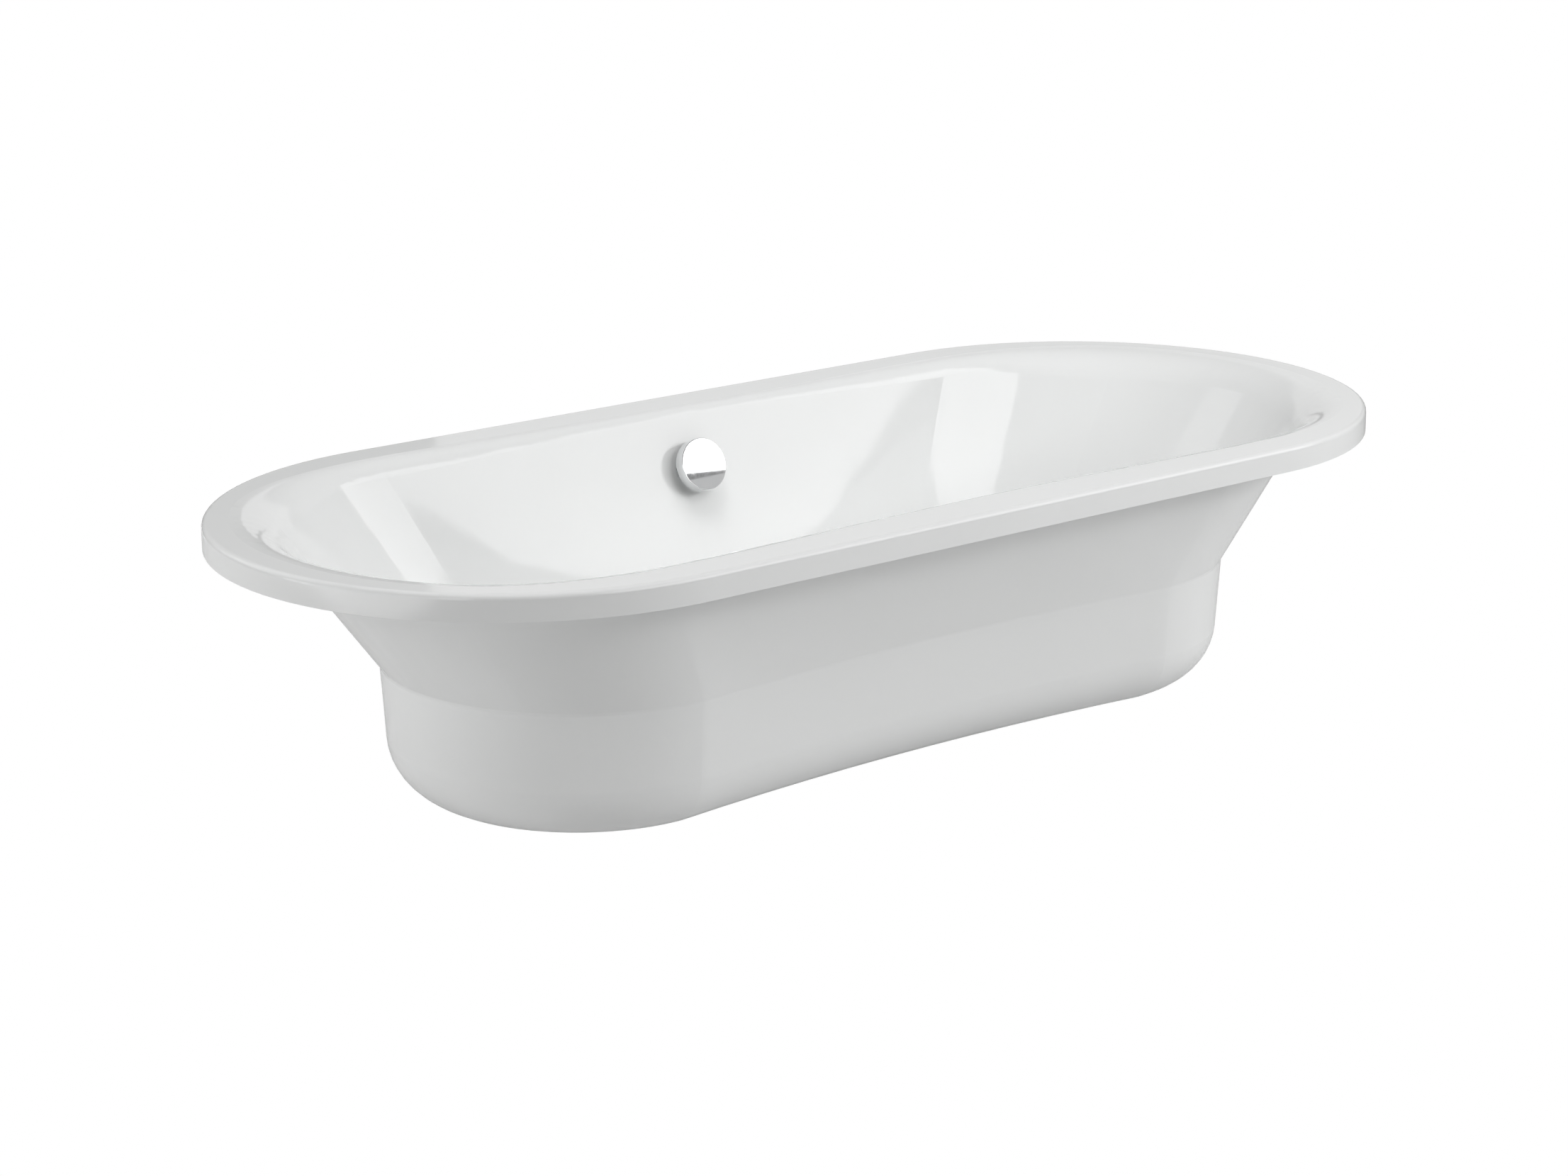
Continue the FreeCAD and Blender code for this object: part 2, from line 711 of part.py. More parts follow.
def overflow_spindle():
    """The shaft from the cap to the drum, with a collar behind the plate's hub."""
    end = "cap_gap + cap_depth - 2 * cap_wall - seat_gap"
    foot = "seat_gap - sheet_wall - gasket_thickness - elbow_depth"
    collar = "-hub_depth - seat_gap"
    outline = [
        ("0", foot),
        ("spindle_diameter / 2", foot),
        ("spindle_diameter / 2", f"{collar} - collar_height"),
        ("collar_diameter / 2", f"{collar} - collar_height"),
        ("collar_diameter / 2", collar),
        ("spindle_diameter / 2", collar),
        ("spindle_diameter / 2", end),
        ("0", end),
    ]
    return keep("overflow_spindle", turned("spindle", outline, overflow_frame()))


def cable_drum():
    """The grooved drum that winds the cable as the cap turns."""
    groove, flange, bore = "drum_groove / 2", "drum_flange / 2", "spindle_diameter / 2 + running_fit"
    outline = [
        (bore, "0"),
        (flange, "0"),
        (flange, "drum_rim"),
        (groove, "drum_rim"),
        (groove, "drum_width - drum_rim"),
        (flange, "drum_width - drum_rim"),
        (flange, "drum_width"),
        (bore, "drum_width"),
    ]
    return keep("cable_drum", turned("drum", outline, overflow_frame(DRUM_FOOT)))


def overflow_plate():
    """The pierced plate inside the wall: a hub for the spindle, water holes round it and two screw holes."""
    bore, top = "spindle_diameter / 2 + running_fit", "seat_gap + plate_thickness"
    disc = turned(
        "plate_disc",
        [
            (bore, "-hub_depth"),
            ("hub_diameter / 2", "-hub_depth"),
            ("hub_diameter / 2", "seat_gap"),
            ("plate_diameter / 2", "seat_gap"),
            ("plate_diameter / 2", top),
            ("hub_diameter / 2", top),
            ("hub_diameter / 2", f"{top} + hub_rise"),
            (bore, f"{top} + hub_rise"),
        ],
        overflow_frame(),
    )
    holes = []
    for number in range(int(size.slot_count)):
        turn = 2 * math.pi * (number + 1 / 2) / size.slot_count
        aside = polar(Vector(), size.slot_circle_diameter / 2, turn)
        place = overflow_frame(0, aside.x, aside.y)
        holes.append(cylinder("water_hole", "slot_diameter / 2", "3 * plate_thickness", place))
    radius = "screw_diameter / 2 + 2 * running_fit"
    for side in (-1, 1):
        place = overflow_frame(0, side * size.screw_circle_diameter / 2)
        holes.append(cylinder("screw_hole", radius, "3 * plate_thickness", place))
    return keep("overflow_plate", without("plate", disc, holes))


def overflow_screws():
    """The two screws that clamp plate, wall, gasket and elbow together."""
    shank, head, top = "screw_diameter / 2 - running_fit", "screw_head / 2", "seat_gap + plate_thickness"
    outline = [
        ("0", "-screw_length"),
        (shank, "-screw_length"),
        (shank, top),
        (head, top),
        (head, f"{top} + head_height"),
        ("0", f"{top} + head_height"),
    ]
    places = [overflow_frame(0, side * size.screw_circle_diameter / 2) for side in (-1, 1)]
    screws = [turned("screw", outline, place) for place in places]
    return keep("overflow_screws", group("screws", screws))


def overflow_gasket():
    """The rubber ring between the wall's back and the elbow."""
    outer, inner = "elbow_mouth / 2", "elbow_mouth / 2 - gasket_width"
    low, high = "-sheet_wall - gasket_thickness", "-sheet_wall - seat_gap"
    outline = [(inner, low), (outer, low), (outer, high), (inner, high)]
    return keep("overflow_gasket", turned("gasket", outline, overflow_frame()))


def gland_direction():
    """The way the cable leaves the elbow, square to the spindle."""
    turn = -math.radians(size.gland_angle)
    return WALL_TURN.multVec(Vector(math.cos(turn), math.sin(turn), 0))


def gland_point(distance):
    """A point on the cable's line out of the elbow, which runs off the drum's groove at a tangent."""
    spindle = overflow_frame(DRUM_FOOT + size.drum_width / 2).Base
    aside = overflow_frame(1).Base - overflow_frame().Base
    offset = (size.drum_groove + size.rod_diameter) / 2
    return spindle + gland_direction() * distance + aside.cross(gland_direction()) * offset


def overflow_elbow():
    """The housing behind the wall: a cup with a spout down, screw bosses and the cable's gland."""
    down = -OUTWARD
    front = overflow_frame(ELBOW_MOUTH - size.elbow_lip)
    back = overflow_frame(ELBOW_BACK)
    lip = cylinder("elbow_lip_ring", "elbow_mouth / 2", "elbow_lip", front)
    cup = cylinder("elbow_cup", "elbow_diameter / 2", "elbow_depth", back)
    head = Vector(SPOUT.x, SPOUT.y, SPOUT_HEAD)
    spout = cylinder("spout_tube", "pipe_diameter / 2 + socket_wall", "elbow_spout", along(down, head))
    cable = along(gland_direction(), gland_point(0))
    gland = cylinder("gland_boss", "ferrule_diameter / 2 + ferrule_wall", "gland_reach", cable)
    housing = fused("elbow_block", [lip, cup, spout, gland])
    cavity = cylinder("elbow_cavity", "elbow_diameter / 2 - elbow_wall", "elbow_depth", back)
    inside = head - down * (2 * size.elbow_wall)
    passage = "elbow_spout + 2 * elbow_wall"
    bore = cylinder("spout_bore", "pipe_diameter / 2 - pipe_wall", passage, along(down, inside))
    mouth = head + down * (size.elbow_spout - size.pipe_entry)
    entry = cylinder("spout_entry", "pipe_diameter / 2 + running_fit", "pipe_entry", along(down, mouth))
    wire = cylinder("wire_hole", "cable_bore / 2", "gland_reach", cable)
    seat_depth = size.gland_reach - size.ferrule_length + size.ferrule_collar
    seat_foot = along(gland_direction(), gland_point(seat_depth))
    seat = cylinder("gland_seat", "ferrule_diameter / 2 + running_fit", "gland_reach", seat_foot)
    hollow = without("elbow_hollow", housing, [cavity, bore, entry, wire, seat])
    bosses, holes = [], []
    for side in (-1, 1):
        place = overflow_frame(ELBOW_MOUTH - size.boss_length, side * size.screw_circle_diameter / 2)
        bosses.append(cylinder("screw_boss_post", "screw_boss / 2", "boss_length", place))
        holes.append(cylinder("screw_boss_hole", "screw_diameter / 2", "boss_length", place))
    around = cylinder("elbow_around", "elbow_diameter / 2", "elbow_depth", back)
    kept_bosses = doc.addObject("Part::MultiCommon", "bosses_in_cup")
    kept_bosses.Shapes = [group("boss_pair", bosses), around]
    return keep("overflow_elbow", without("elbow", fused("elbow_bosses", [hollow, kept_bosses]), holes))


def drum_cover():
    """The elbow's back, with a bearing for the spindle's end."""
    back = "-sheet_wall - gasket_thickness - elbow_depth"
    rim = "elbow_diameter / 2 - elbow_wall - running_fit"
    outline = [
        ("0", f"{back} - cover_thickness"),
        ("elbow_diameter / 2", f"{back} - cover_thickness"),
        ("elbow_diameter / 2", back),
        (rim, back),
        (rim, f"{back} + cover_thickness"),
        (f"{rim} - cover_rim", f"{back} + cover_thickness"),
        (f"{rim} - cover_rim", back),
        ("bearing_diameter / 2", back),
        ("bearing_diameter / 2", f"{back} + bearing_height"),
        ("spindle_diameter / 2 + running_fit", f"{back} + bearing_height"),
        ("spindle_diameter / 2 + running_fit", back),
        ("0", back),
    ]
    return keep("drum_cover", turned("cover", outline, overflow_frame()))


def tube(label, name, length, place):
    """A plain pipe of the waste's size."""
    outer = cylinder(f"{name}_outside", "pipe_diameter / 2", length, place)
    inner = cylinder(f"{name}_inside", "pipe_diameter / 2 - pipe_wall", length, place)
    return keep(label, without(name, outer, [inner]))


def overflow_pipe():
    """The upright pipe from the elbow's spout to the tee."""
    foot = TEE + OUTWARD * (size.tee_reach - size.pipe_entry)
    height = SPOUT_FOOT + size.pipe_entry - foot.z
    return tube("overflow_pipe", "upright", height, along(OUTWARD, foot))


def shoe_pipe():
    """The level pipe from the drain shoe to the tee."""
    start = Vector(0, size.outlet_reach - size.pipe_entry, OUTLET)
    length = TEE.y - size.tee_reach + size.pipe_entry - start.y
    return tube("shoe_pipe", "level", length, along(CROSSWISE, start))


def slip_joints():
    """The ends of the four sockets that take a pipe, each with +Z out of the socket."""
    down = -OUTWARD
    return [
        along(down, Vector(TEE.x, TEE.y, SPOUT_FOOT)),
        along(OUTWARD, TEE + OUTWARD * size.tee_reach),
        along(-CROSSWISE, TEE - CROSSWISE * size.tee_reach),
        along(CROSSWISE, Vector(0, size.outlet_reach, OUTLET)),
    ]


def pipe_nuts():
    """The four eight-sided nuts that squeeze the sealing rings of the slip joints."""
    nuts = []
    for place in slip_joints():
        foot = place.multiply(Placement(Vector(0, 0, -size.nut_overlap), Rotation()))
        block = doc.addObject("Part::Prism", "nut_block")
        corner = "(pipe_diameter / 2 + socket_wall + nut_wall) / cos(180 / nut_faces)"
        bind(block, {"Polygon": "nut_faces", "Circumradius": corner, "Height": "nut_length"})
        block.Placement = foot
        thread_bore = "pipe_diameter / 2 + socket_wall + running_fit"
        thread = cylinder("nut_thread", thread_bore, "nut_overlap + ring_length", foot)
        mouth = cylinder("nut_mouth", "pipe_diameter / 2 + seat_gap", "nut_length", foot)
        nuts.append(without("nut", block, [thread, mouth]))
    return keep("pipe_nuts", group("nuts", nuts))


def pipe_seals():
    """The four rubber rings under the nuts."""
    inner, outer = "pipe_diameter / 2 + running_fit", "pipe_diameter / 2 + socket_wall - seat_gap"
    outline = [(inner, "0"), (outer, "0"), (outer, "ring_length"), (inner, "ring_length")]
    return keep("pipe_seals", group("seals", [turned("seal", outline, place) for place in slip_joints()]))


def waste_tee():
    """The tee where overflow and drain meet, with a plain tail down to the trap."""
    outer, bore = "pipe_diameter / 2 + socket_wall", "pipe_diameter / 2 - pipe_wall"
    entry = "pipe_diameter / 2 + running_fit"
    root = TEE - OUTWARD * size.tee_root
    foot = root - OUTWARD * size.tee_tail
    trunk = cylinder("tee_trunk", outer, "tee_root + tee_reach", along(OUTWARD, root))
    branch = cylinder("tee_branch", outer, "tee_reach", along(-CROSSWISE, TEE))
    tail = cylinder("tee_tail_pipe", "pipe_diameter / 2", "tee_tail + tee_root", along(OUTWARD, foot))
    middle = doc.addObject("Part::Sphere", "tee_middle")
    bind(middle, {"Radius": "tee_body / 2"})
    middle.Placement = along(OUTWARD, TEE)
    block = fused("tee_block", [trunk, branch, tail, middle])
    top = TEE + OUTWARD * (size.tee_reach - size.pipe_entry)
    side = TEE - CROSSWISE * (size.tee_reach - size.pipe_entry)
    hollows = [
        cylinder("tee_bore", bore, "tee_tail + tee_root + tee_reach", along(OUTWARD, foot)),
        cylinder("tee_side_bore", "pipe_diameter / 2 - 2 * pipe_wall", "tee_reach", along(-CROSSWISE, TEE)),
        cylinder("tee_entry", entry, "pipe_entry", along(OUTWARD, top)),
        cylinder("tee_side_entry", entry, "pipe_entry", along(-CROSSWISE, side)),
    ]
    return keep("waste_tee", without("tee", block, hollows))


def drain_flange():
    """The chromed flange in the floor: a sleeve under it carries spokes with a guide for the plug's stem."""
    inner, sleeve = "sleeve_diameter / 2 - sleeve_wall", "sleeve_diameter / 2"
    outline = [
        (inner, "-sleeve_length"),
        (sleeve, "-sleeve_length"),
        (sleeve, "0"),
        ("flange_diameter / 2", "0"),
        ("flange_diameter / 2", "flange_thickness"),
        (inner, "flange_thickness"),
    ]
    pieces = [turned("flange_sleeve", outline, along(OUTWARD, Vector(0, 0, FLANGE_FOOT)))]
    foot = FLANGE_FOOT - size.spoke_drop - size.spoke_height
    guide = along(OUTWARD, Vector(0, 0, foot))
    pieces.append(cylinder("guide_post", "guide_diameter / 2", "spoke_height", guide))
    for number in range(int(size.spoke_count)):
        turn = Rotation(OUTWARD, 360 * number / size.spoke_count)
        corner = turn.multVec(Vector(0, -size.spoke_width / 2, foot))
        length = "sleeve_diameter / 2 - sleeve_wall / 2"
        pieces.append(box("spoke", length, "spoke_width", "spoke_height", Placement(corner, turn)))
    bore = cylinder("guide_bore", "stem_diameter / 2 + running_fit", "spoke_height", guide)
    return keep("drain_flange", without("flange", fused("flange_block", pieces), [bore]))


def drain_seals():
    """The two gaskets that pinch the floor: one under the flange, one on the shoe."""
    inner = "drain_hole / 2 + seat_gap"
    for label, outer, thickness, foot in (
        ("drain_seal_upper", "flange_diameter / 2 - seat_gap", "upper_seal", DRAIN_SEAT),
        ("drain_seal_lower", "shoe_flange / 2 - seat_gap", "lower_seal", SHOE_TOP),
    ):
        outline = [(inner, "0"), (outer, "0"), (outer, thickness), (inner, thickness)]
        keep(label, turned(f"{label}_ring", outline, along(OUTWARD, Vector(0, 0, foot))))


def drain_shoe():
    """The shoe under the floor: a cup with the outlet socket, the shaft's bearings and a bracket."""
    place = along(OUTWARD, Vector(0, 0, SHOE_TOP))
    foot = "-shoe_lip - pipe_diameter - 2 * socket_wall - 2 * outlet_clear"
    body = turned(
        "shoe_body",
        [
            ("0", foot),
            ("shoe_diameter / 2", foot),
            ("shoe_diameter / 2", "-shoe_lip"),
            ("shoe_flange / 2", "-shoe_lip"),
            ("shoe_flange / 2", "0"),
            ("0", "0"),
        ],
        place,
    )
    axis = Vector(0, 0, OUTLET)
    across = Vector(0, SHAFT.y, SHAFT.z)
    boss = "shaft_diameter / 2 + boss_wall"
    bracket = along(CROSSWISE, Vector(ROD_LINE, size.bracket_distance, ROD_LEVEL))
    web = along(OUTWARD, Vector(0, size.bracket_distance, ROD_LEVEL - size.ferrule_diameter / 2))
    bracket_depth = "ferrule_length - ferrule_collar"
    bracket_radius = "ferrule_diameter / 2 + ferrule_wall"
    pieces = [
        body,
        cylinder("outlet_socket", "pipe_diameter / 2 + socket_wall", "outlet_reach", along(CROSSWISE, axis)),
        cylinder("front_bearing", boss, "boss_reach", along(LENGTHWISE, across)),
        cylinder("blind_bearing", boss, "boss_back", along(-LENGTHWISE, across)),
        cylinder("bracket_boss", bracket_radius, bracket_depth, bracket),
        box("bracket_web", ROD_LINE, bracket_depth, "ferrule_diameter", web),
    ]
    block = fused("shoe_block", pieces)
    cavity = turned(
        "shoe_cavity",
        [
            ("0", f"{foot} + shoe_wall"),
            ("shoe_diameter / 2 - shoe_wall", f"{foot} + shoe_wall"),
            ("shoe_diameter / 2 - shoe_wall", "-neck_length"),
            ("sleeve_diameter / 2 + running_fit", "-neck_length"),
            ("sleeve_diameter / 2 + running_fit", "0"),
            ("0", "0"),
        ],
        place,
    )
    entry = Vector(0, size.outlet_reach - size.pipe_entry, OUTLET)
    shaft_foot = across - LENGTHWISE * (size.shaft_back + size.seat_gap)
    bearing = "shaft_back + seat_gap + boss_reach"
    hollows = [
        cavity,
        cylinder("outlet_bore", "pipe_diameter / 2 - pipe_wall", "outlet_reach", along(CROSSWISE, axis)),
        cylinder("outlet_entry", "pipe_diameter / 2 + running_fit", "pipe_entry", along(CROSSWISE, entry)),
        cylinder("shaft_bore", "shaft_diameter / 2 + running_fit", bearing, along(LENGTHWISE, shaft_foot)),
        cylinder("bracket_bore", "ferrule_diameter / 2 + running_fit", bracket_depth, bracket),
    ]
    return keep("drain_shoe", without("shoe", block, hollows))


def plug_cap():
    """The plug's chromed top, bored underneath for the stem."""
    outline = [
        ("stem_diameter / 2 + running_fit", "0"),
        ("plug_diameter / 2", "0"),
        ("plug_diameter / 2", "plug_height"),
        ("0", "plug_height"),
        ("0", "stem_engaged"),
        ("stem_diameter / 2 + running_fit", "stem_engaged"),
    ]
    cap = turned("plug_top", outline, along(OUTWARD, Vector(0, 0, PLUG_FOOT)))
    return keep("plug_cap", softened(cap, size.plug_diameter / 2, size.plug_height, "plug_round"))


def plug_seal():
    """The rubber ring under the plug."""
    outline = [
        ("seal_inner / 2", "-plug_seal"),
        ("seal_outer / 2", "-plug_seal"),
        ("seal_outer / 2", "0"),
        ("seal_inner / 2", "0"),
    ]
    return keep("plug_seal", turned("plug_ring", outline, along(OUTWARD, Vector(0, 0, PLUG_FOOT))))


def plug_stem():
    """The stem that the lever lifts, sliding in the flange's guide."""
    height = PLUG_FOOT + size.stem_engaged - size.seat_gap - STEM_FOOT
    place = along(OUTWARD, Vector(0, 0, STEM_FOOT))
    return keep("plug_stem", cylinder("stem", "stem_diameter / 2", height, place))


def on_lever(across, out=0, up=0, direction=LENGTHWISE):
    """A placement in the lever's own frame, its +Z turned to a direction."""
    return LEVER_FRAME.multiply(along(direction, Vector(across, out, up)))


def lift_lever():
    """The lever inside the shoe, with a round tip under the plug's stem."""
    side = -size.lever_width / 2
    hub = cylinder("lever_hub_boss", "lever_hub / 2", "lever_width", on_lever(side))
    tip = cylinder("lever_roller", "lever_tip / 2", "lever_width", on_lever(side, size.lever_arm))
    corner = on_lever(side, 0, -size.lever_thickness / 2, OUTWARD)
    arm = box("lever_bar", "lever_width", "lever_arm", "lever_thickness", corner)
    bore = cylinder("lever_bore", "shaft_diameter / 2 + running_fit", "lever_width", on_lever(side))
    return keep("lift_lever", without("lever", fused("lever_block", [hub, tip, arm]), [bore]))


def lever_shaft():
    """The shaft that carries lever and crank."""
    place = on_lever(-size.shaft_back)
    return keep("lever_shaft", cylinder("shaft", "shaft_diameter / 2", "shaft_back + shaft_end", place))


def crank_arm():
    """The crank outside the shoe, with the pin that the cable's rod pulls."""
    face = CRANK_FACE
    hub = cylinder("crank_boss", "crank_hub / 2", "crank_thickness", on_lever(face))
    end = cylinder("crank_end", "crank_eye / 2", "crank_thickness", on_lever(face, 0, -size.crank_arm))
    corner = on_lever(face, -size.crank_web / 2, -size.crank_arm, OUTWARD)
    web = box("crank_bar", "crank_thickness", "crank_web", "crank_arm", corner)
    foot = on_lever(face, 0, -size.crank_arm)
    pin = cylinder("crank_pin", "pin_diameter / 2", "crank_thickness + pin_length", foot)
    bore = cylinder("crank_bore", "shaft_diameter / 2 + running_fit", "crank_thickness", on_lever(face))
    return keep("crank_arm", without("crank", fused("crank_block", [hub, end, web, pin]), [bore]))


def pull_rod():
    """The stiff end of the cable's wire: an eye round the crank's pin and a rod into the sheath."""
    eye_middle = Vector(ROD_LINE, ROD_START, ROD_LEVEL)
    side = eye_middle - LENGTHWISE * (size.eye_width / 2)
    eye = cylinder("rod_eye_ring", "rod_eye / 2", "eye_width", along(LENGTHWISE, side))
    start = eye_middle + CROSSWISE * (size.eye_hole / 2 + size.rod_diameter / 2)
    length = BRACKET_FACE + size.rod_engaged - start.y
    rod = cylinder("rod_wire", "rod_diameter / 2", length, along(CROSSWISE, start))
    hole = cylinder("rod_eye_hole", "eye_hole / 2", "eye_width", along(LENGTHWISE, side))
    return keep("pull_rod", without("rod", fused("rod_block", [eye, rod]), [hole]))


def cable_route():
    """Corners of the cable's route, with the radius of the bend at each inner corner."""
    start = gland_point(size.gland_reach - size.ferrule_collar)
    out = gland_point(size.gland_run)
    stop = Vector(ROD_LINE, BRACKET_FACE - size.ferrule_collar, ROD_LEVEL)
    turn = Vector(ROD_LINE, out.y, ROD_LEVEL)
    return [start, out, turn, stop], [size.upper_bend, size.lower_bend]


def cable_path():
    """Straight runs and tangent arcs of the cable's centre line."""
    corners, radii = cable_route()
    edges = []
    here = corners[0]
    for corner, after, radius in zip(corners[1:], corners[2:], radii):
        inwards = (corner - here).normalize()
        outwards = (after - corner).normalize()
        bend = inwards.getAngle(outwards)
        reach = radius * math.tan(bend / 2)
        start, stop = corner - inwards * reach, corner + outwards * reach
        middle = corner + (outwards - inwards).normalize() * radius * (1 / math.cos(bend / 2) - 1)
        edges.append(Part.LineSegment(here, start).toShape())
        edges.append(Part.Arc(start, middle, stop).toShape())
        print(f"cable bend radius {edges[-1].Curve.Radius:.1f} mm through {math.degrees(bend):.0f} degrees")
        here = stop
    edges.append(Part.LineSegment(here, corners[-1]).toShape())
    return Part.Wire(edges)


def bowden_cable():
    """The sheath from the elbow's gland to the shoe's bracket, swept along its route."""
    path = doc.addObject("Part::Feature", "cable_line")
    path.Shape = cable_path()
    corners, _ = cable_route()
    runs = []
    for name, radius in (("cable_outside", "cable_diameter / 2"), ("cable_inside", "cable_bore / 2")):
        circle = doc.addObject("Part::Circle", f"{name}_circle")
        bind(circle, {"Radius": radius})
        circle.Placement = along(corners[1] - corners[0], corners[0])
        run = doc.addObject("Part::Sweep", name)
        run.Sections = [circle]
        run.Spine = (path, [f"Edge{number}" for number in range(1, len(path.Shape.Edges) + 1)])
        run.Solid = True
        runs.append(run)
    sheath = without("cable", runs[0], runs[1:])
    doc.recompute()
    section = math.pi * (size.cable_diameter**2 - size.cable_bore**2) / 4
    expected = section * path.Shape.Length
    print(f"cable volume {sheath.Shape.Volume:.1f} mm3, section times length {expected:.1f} mm3")
    return keep("bowden_cable", sheath)


def cable_ferrules():
    """The two brass ferrules that hold the sheath's ends in gland and bracket."""
    wire, seat = "cable_bore / 2", "cable_diameter / 2 + running_fit"
    body, head = "ferrule_diameter / 2", "ferrule_head / 2"
    back = "ferrule_collar - ferrule_length"
    outline = [
        (wire, back),
        (body, back),
        (body, "0"),
        (head, "0"),
        (head, "ferrule_collar"),
        (seat, "ferrule_collar"),
        (seat, "-ferrule_collar"),
        (wire, "-ferrule_collar"),
    ]
    places = [
        along(gland_direction(), gland_point(size.gland_reach)),
        along(CROSSWISE, Vector(ROD_LINE, BRACKET_FACE, ROD_LEVEL)),
    ]
    return keep("cable_ferrules", group("ferrules", [turned("ferrule", outline, place) for place in places]))


def check(label, piece):
    """Stop where a sub-part is missing or broken."""
    shape = piece.Shape
    if shape.isNull() or not shape.isValid():
        raise ValueError(f"{label} has no valid shape")


tub_shell()
anti_drum_pads()
earth_lug()
overflow_knob()
overflow_spindle()
cable_drum()
overflow_plate()
overflow_screws()
overflow_gasket()
overflow_elbow()
drum_cover()
overflow_pipe()
shoe_pipe()
pipe_nuts()
pipe_seals()
waste_tee()
drain_flange()
drain_seals()
drain_shoe()
plug_cap()
plug_seal()
plug_stem()
lift_lever()
lever_shaft()
crank_arm()
pull_rod()
bowden_cable()
cable_ferrules()

doc.recompute()
for piece in doc.Objects:
    if "Invalid" in piece.State or "Error" in piece.State:
        raise ValueError(f"{piece.Name} failed: {piece.State}")
os.makedirs("parts", exist_ok=True)
for label, piece in nodes.items():
    check(label, piece)
    piece.Shape.exportStep(f"parts/{label}.step")
print(f"{len(nodes)} sub-parts written")
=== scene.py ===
import json
import math

import bpy
from mathutils import Matrix, Vector

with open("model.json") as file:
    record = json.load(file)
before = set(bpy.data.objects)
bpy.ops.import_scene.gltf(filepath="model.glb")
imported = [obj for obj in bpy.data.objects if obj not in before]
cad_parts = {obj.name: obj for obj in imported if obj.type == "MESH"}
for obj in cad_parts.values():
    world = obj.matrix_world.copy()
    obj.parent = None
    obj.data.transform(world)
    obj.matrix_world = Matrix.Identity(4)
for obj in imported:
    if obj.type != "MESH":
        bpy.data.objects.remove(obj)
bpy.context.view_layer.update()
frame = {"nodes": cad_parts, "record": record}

# The bathtub in a white studio, seen as in the photograph. Lengths in metres, in the model's frame.

# The camera, fitted to the photograph: its framing in pixels of the 2212 x 1659 picture
IMAGE_WIDTH = 2212
IMAGE_HEIGHT = 1659
FOCAL_PIXELS = 4886.559
AXIS_PIXEL = (1159.572, 633.506)
# Its place, in degrees and metres from the middle of the rim's top, which it faces
CAMERA_AZIMUTH = -39.293
CAMERA_ELEVATION = 13.725
CAMERA_DISTANCE = 4.728976
RIM_TOP = Vector((0, 0, 0.034))
SENSOR_MILLIMETRES = 36.0

# The floor stands clear below the waste's tail
FLOOR_LEVEL = -0.62
FLOOR_SIDE = 60
FLOOR_GREY = 0.72
# The white surround is only mirrored: the lights alone light the bath
SURROUND_STRENGTH = 0.28

# Soft lights that face the bath and that the camera doesn't see: azimuth and elevation in degrees,
# distance, width and height in metres, which of its light counts, watts
LIGHTS = {
    "panel": (28, 27.5, 5.0, 6.9, 2.6, "glossy", 132),
    "left_low": (-85, 2, 2.4, 2.6, 1.1, "glossy", 20),
    "key": (35, 19.5, 5.0, 1.0, 1.0, "diffuse", 50),
    "front": (22, 38, 5.0, 3.0, 3.0, "diffuse", 90),
    "right": (78, -3, 3.0, 1.6, 0.7, "diffuse", 9),
    "left": (-100, 12, 5.0, 2.6, 2.6, "diffuse", 86),
    "back_left": (-145, 30, 5.0, 3.0, 3.0, "both", 24),
    "back_right": (136, 16, 5.0, 3.0, 2.0, "both", 8),
    "back": (180, -2, 4.0, 4.0, 1.0, "diffuse", 40),
    "above": (0, 90, 4.0, 3.4, 3.4, "diffuse", 91),
}

# A card before the panel, which the cap's face mirrors in its lower part: a dark strip along its
# upper edge and a lighter field below
CARD_CORNERS = (
    (2.3723, -2.9212, 1.4558),
    (2.6684, -2.8604, 1.3992),
    (2.6481, -2.8990, 1.2800),
    (2.3592, -2.9467, 1.3637),
    (2.3665, -2.9326, 1.4300),
)
CARD_FACES = ((0, 4, 1), (4, 3, 2, 1))
CARD_GREYS = (0.25, 0.54)

# The part of a noise's range in which nearly all of its values lie
NOISE_LOW = 0.3
NOISE_HIGH = 0.7


def grey(level):
    """A neutral opaque colour."""
    return (level, level, level, 1)


def outward(azimuth, elevation):
    """The unit vector that points that way from the bath, with azimuth 0 towards -Y."""
    azimuth, elevation = math.radians(azimuth), math.radians(elevation)
    return Vector(
        (
            math.sin(azimuth) * math.cos(elevation),
            -math.cos(azimuth) * math.cos(elevation),
            math.sin(elevation),
        )
    )


def camera():
    """The photograph's viewpoint and framing."""
    turn = math.radians(CAMERA_AZIMUTH)
    back = outward(CAMERA_AZIMUTH, CAMERA_ELEVATION)
    right = Vector((math.cos(turn), math.sin(turn), 0))
    up = back.cross(right)
    lens = bpy.data.cameras.new("camera")
    lens.sensor_width = SENSOR_MILLIMETRES
    lens.lens = FOCAL_PIXELS * SENSOR_MILLIMETRES / IMAGE_WIDTH
    lens.shift_x = (IMAGE_WIDTH / 2 - AXIS_PIXEL[0]) / IMAGE_WIDTH
    lens.shift_y = (AXIS_PIXEL[1] - IMAGE_HEIGHT / 2) / IMAGE_WIDTH
    seat = bpy.data.objects.new("camera", lens)
    axes = Matrix((right, up, back)).transposed().to_4x4()
    seat.matrix_world = Matrix.Translation(RIM_TOP + back * CAMERA_DISTANCE) @ axes
    bpy.context.scene.collection.objects.link(seat)
    bpy.context.scene.camera = seat


